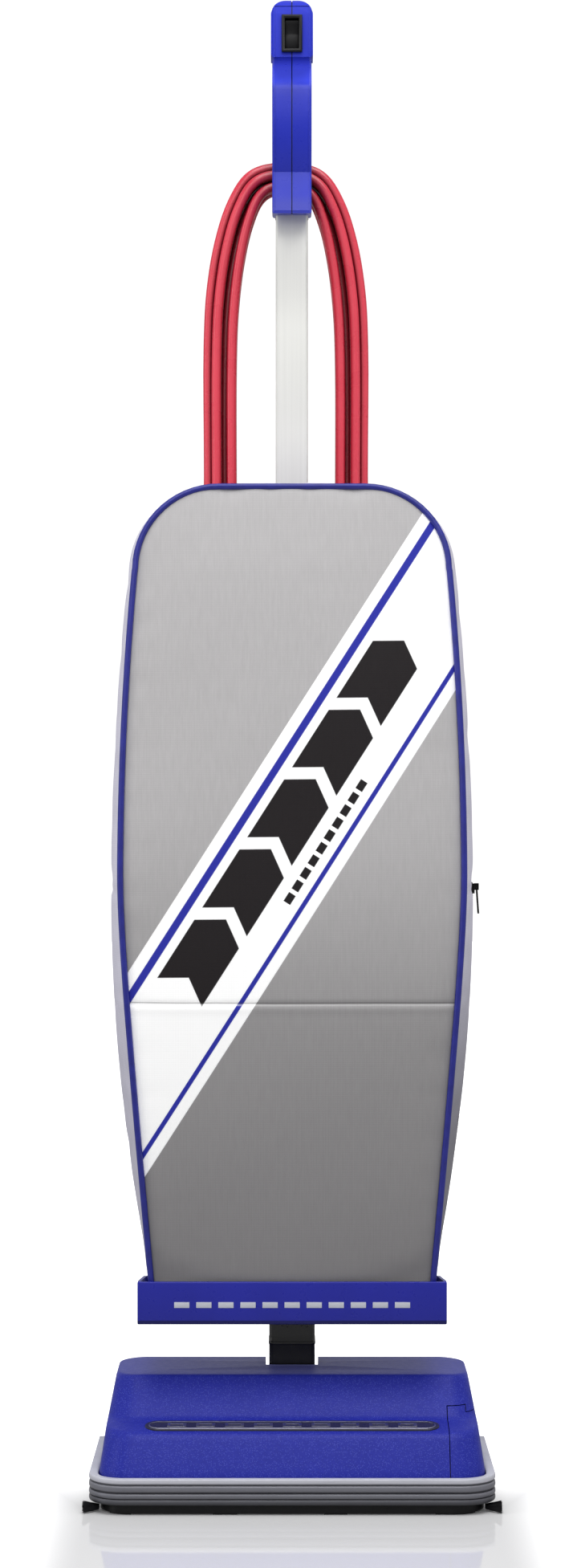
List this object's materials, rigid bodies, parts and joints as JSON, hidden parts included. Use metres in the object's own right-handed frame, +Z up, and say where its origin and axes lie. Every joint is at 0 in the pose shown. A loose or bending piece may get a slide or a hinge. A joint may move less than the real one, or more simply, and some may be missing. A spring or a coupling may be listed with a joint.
{
  "type": "upright vacuum cleaner",
  "caption": "Upright vacuum cleaner with a reclining handle, a zipped cloth dust bag, a belt-driven brush roll and a mains cord wound behind the handle.",
  "frame": {"origin": "on the floor under the head, between the brush roll and the wheels, on the bottom of the centre pad", "axes": "+Z up, -Y towards the front bumper, +X to the user's right when pushing"},
  "size_m": [0.3292, 0.2564, 1.224],
  "materials": {
    "hood_blue": "moulded plastic with a fine speckled texture",
    "handle_blue": "smooth moulded plastic, satin gloss",
    "bumper_grey": "silver grey ribbed band",
    "black_plastic": "moulded plastic",
    "neck_black": "glossy moulded plastic",
    "housing_grey": "moulded plastic",
    "badge_grey": "dark plate with a light rim",
    "steel": "plain steel",
    "motor_metal": "pressed and cast casing",
    "copper": "copper windings and segments",
    "carbon": "carbon",
    "black_rubber": "moulded rubber",
    "tyre_rubber": "moulded rubber",
    "brush_wood": "turned wood",
    "bristle": "nylon tufts",
    "tube_grey": "light grey satin tube",
    "bag_cloth": "light grey woven cloth with a printed white band",
    "bag_piping": "dark blue cord piping",
    "zip_black": "black zip",
    "paper": "brown filter paper",
    "cardboard": "cardboard",
    "cord_red": "red vinyl cord",
    "brass": "plug pins"
  },
  "bodies": {
    "base": {"sole_plate": "black_plastic", "sole_screws": "steel", "chassis": "housing_grey", "hood": "hood_blue", "belt_cover": "hood_blue", "bumper": "bumper_grey", "hood_badge": "badge_grey", "motor_can": "motor_metal", "motor_end_bell": "motor_metal", "field_stack": "steel", "carbon_brushes": "carbon", "motor_bearings": "steel", "motor_mounts": "black_rubber", "fan_housing": "housing_grey", "exhaust_spigot": "housing_grey", "intake_duct": "housing_grey", "drive_belt": "black_rubber", "brush_bearings": "housing_grey", "edge_brushes": "bristle", "wheel_axles": "steel", "pivot_pin": "steel", "guard_wires": "steel"},
    "rotor": {"motor_shaft": "steel", "armature": "copper", "fan_impeller": "motor_metal", "motor_pulley": "steel"},
    "brush_roll": {"brush_core": "brush_wood", "brush_bristles": "bristle"},
    "left_wheel": {"left_wheel_hub": "housing_grey", "left_tyre": "tyre_rubber"},
    "right_wheel": {"right_wheel_hub": "housing_grey", "right_tyre": "tyre_rubber"},
    "handle": {"swivel_neck": "neck_black", "bag_tray": "handle_blue", "tube_socket": "black_plastic", "socket_bolts": "steel", "handle_tube": "tube_grey", "bag_dock": "black_rubber", "bag_collar": "cardboard", "filter_bag": "paper", "outer_bag": "bag_cloth", "bag_piping": "bag_piping", "bag_hanger": "steel", "zipper_tape": "zip_black", "left_grip": "handle_blue", "right_grip": "handle_blue", "grip_screws": "steel", "switch_bezel": "neck_black", "switch_body": "black_plastic", "upper_cord_hook": "black_plastic", "hook_mount": "steel", "strain_relief": "black_rubber", "power_cord": "cord_red", "cord_plug": "black_rubber", "plug_pins": "brass"},
    "rocker": {"switch_rocker": "neck_black"},
    "cord_hook": {"lower_cord_hook": "black_plastic"},
    "slider": {"zip_slider": "zip_black"},
    "pull": {"zip_pull": "zip_black"}
  },
  "joints": [
    {"name": "handle_recline", "type": "hinge", "parent": "base", "child": "handle", "pos_m": [0, 0.026, 0.062], "axis": [-1, 0, 0], "range_deg": [0, 80], "stiffness_Nm_per_rad": 6, "springref_deg": -20.05},
    {"name": "rotor_spin", "type": "hinge", "parent": "base", "child": "rotor", "pos_m": [0, -0.012, 0.05], "axis": [1, 0, 0], "continuous": true},
    {"name": "brush_spin", "type": "hinge", "parent": "base", "child": "brush_roll", "pos_m": [0, -0.078, 0.0225], "axis": [1, 0, 0], "continuous": true},
    {"name": "left_wheel_spin", "type": "hinge", "parent": "base", "child": "left_wheel", "pos_m": [-0.128, 0.082, 0.022], "axis": [1, 0, 0], "continuous": true},
    {"name": "right_wheel_spin", "type": "hinge", "parent": "base", "child": "right_wheel", "pos_m": [0.128, 0.082, 0.022], "axis": [1, 0, 0], "continuous": true},
    {"name": "switch_rock", "type": "hinge", "parent": "handle", "child": "rocker", "pos_m": [0, 0.04834, 1.19064], "axis": [1, 0, 0], "range_deg": [-16, 0]},
    {"name": "cord_hook_swivel", "type": "hinge", "parent": "handle", "child": "cord_hook", "pos_m": [0, 0.11, 0.5], "axis": [0, 1, 0], "range_deg": [0, 180]},
    {"name": "zip_run", "type": "hinge", "parent": "handle", "child": "slider", "pos_m": [-1.4742, 0, 0.49], "axis": [0, 1, 0], "range_deg": [0, 9.8]},
    {"name": "zip_pull_swing", "type": "hinge", "parent": "slider", "child": "pull", "pos_m": [0.1502, 0, 0.4865], "axis": [0, -1, 0], "range_deg": [0, 150]}
  ],
  "couplings": [
    {"joint": "brush_spin", "follows": "rotor_spin", "ratio": 0.423}
  ]
}
